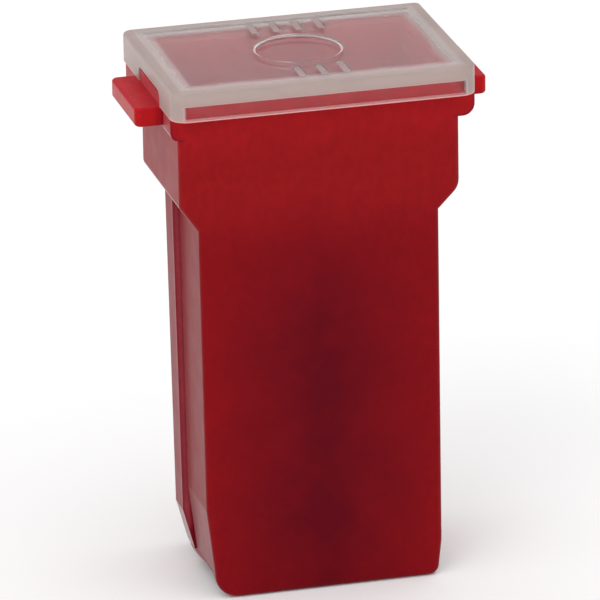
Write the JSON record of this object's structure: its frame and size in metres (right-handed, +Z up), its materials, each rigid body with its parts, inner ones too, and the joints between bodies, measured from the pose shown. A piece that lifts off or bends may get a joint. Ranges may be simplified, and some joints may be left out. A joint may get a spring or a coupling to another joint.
{
  "type": "cartridge fuse",
  "caption": "Slow-blow automotive cartridge fuse: red housing with end ears, clear snap cover with a sight window, female sockets below.",
  "frame": {"origin": "centre of the open bottom rim, on the wall between the two sockets", "axes": "+Z up to the clear cover, X along the cover's long side with an ear at each end, -Y is the flat front"},
  "size_m": [0.0174, 0.0106, 0.0265],
  "materials": {
    "red_housing": "translucent red moulding",
    "clear_cap": "milky clear moulding",
    "tinned_copper": "matt tin plate over copper alloy",
    "spring_steel": "rolled stainless spring strip",
    "link_alloy": "bare copper alloy sheet",
    "tin": "cast tin"
  },
  "bodies": {
    "housing": {"housing": "red_housing", "left_terminal": "tinned_copper", "right_terminal": "tinned_copper", "fuse_link": "link_alloy", "tin_pellet": "tin"},
    "cover": {"clear_cover": "clear_cap"},
    "left_spring": {"left_contact_spring": "spring_steel"},
    "right_spring": {"right_contact_spring": "spring_steel"}
  },
  "joints": [
    {"name": "cover_lift", "type": "slide", "parent": "housing", "child": "cover", "axis": [0, 0, 1], "range_m": [0, 0.006]},
    {"name": "left_spring_flex", "type": "hinge", "parent": "housing", "child": "left_spring", "pos_m": [-0.0014, 0, 0.01258], "axis": [0, -1, 0], "range_deg": [0, 3], "stiffness_Nm_per_rad": 0.4},
    {"name": "right_spring_flex", "type": "hinge", "parent": "housing", "child": "right_spring", "pos_m": [0.0014, 0, 0.01258], "axis": [0, 1, 0], "range_deg": [0, 3], "stiffness_Nm_per_rad": 0.4}
  ]
}
